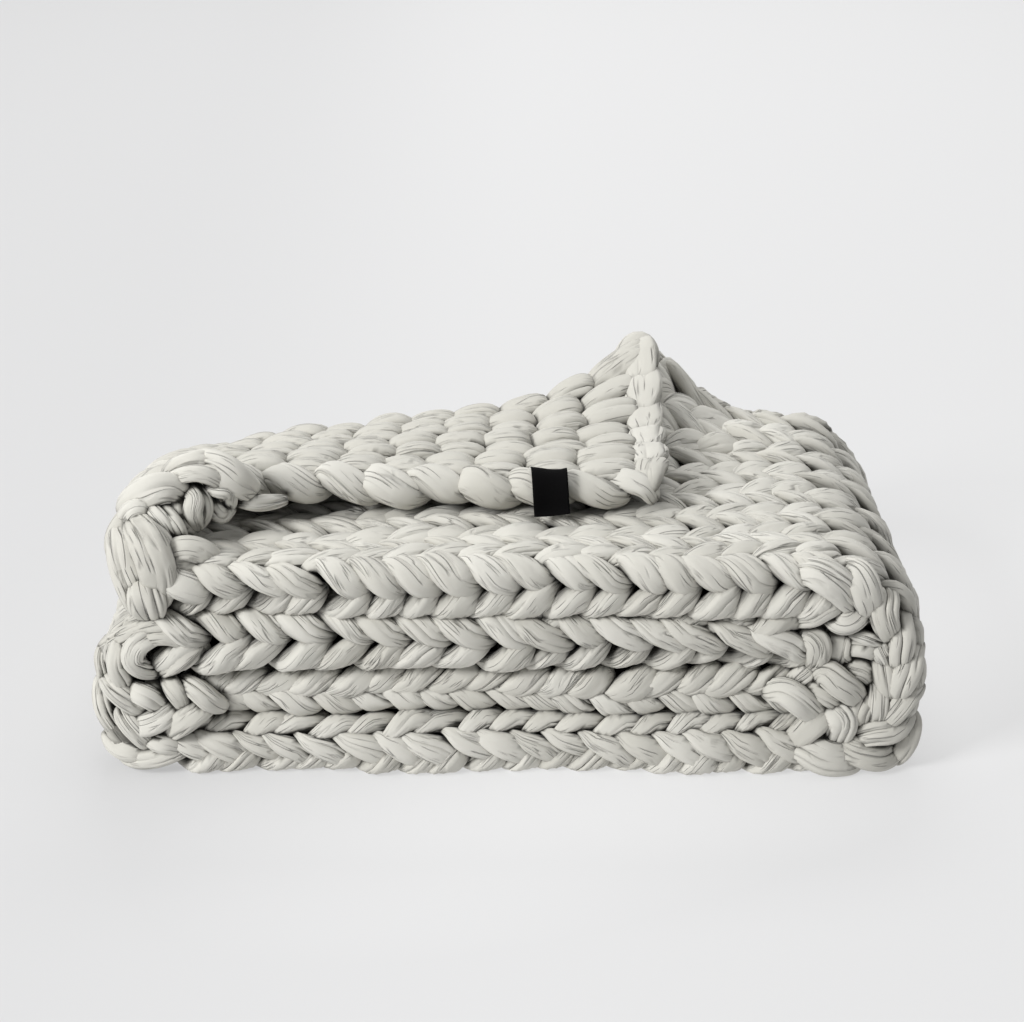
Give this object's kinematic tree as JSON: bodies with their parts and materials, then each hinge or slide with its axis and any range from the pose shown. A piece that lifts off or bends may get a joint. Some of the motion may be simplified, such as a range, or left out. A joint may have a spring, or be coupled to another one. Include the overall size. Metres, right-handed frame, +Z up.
{
  "type": "folded knitted weighted blanket",
  "caption": "Chunky knitted weighted blanket folded back and forth into a low stack, with its end turned back as a flap and a small woven tab.",
  "frame": {"origin": "on the underside, below the middle of the folded blanket's box", "axes": "+Z up, +X along the stack towards the outer fold, +Y towards the back, where the flap's raised corner is"},
  "size_m": [0.5676, 0.313, 0.2182],
  "materials": {
    "knitted_yarn": "matt pale warm grey cotton fabric yarn, hand knitted, about 17 mm thick with fine creases along it",
    "woven_tape": "black woven tape, satin weave, bare"
  },
  "bodies": {
    "root": {"blanket": "knitted_yarn", "label": "woven_tape"}
  },
  "joints": []
}
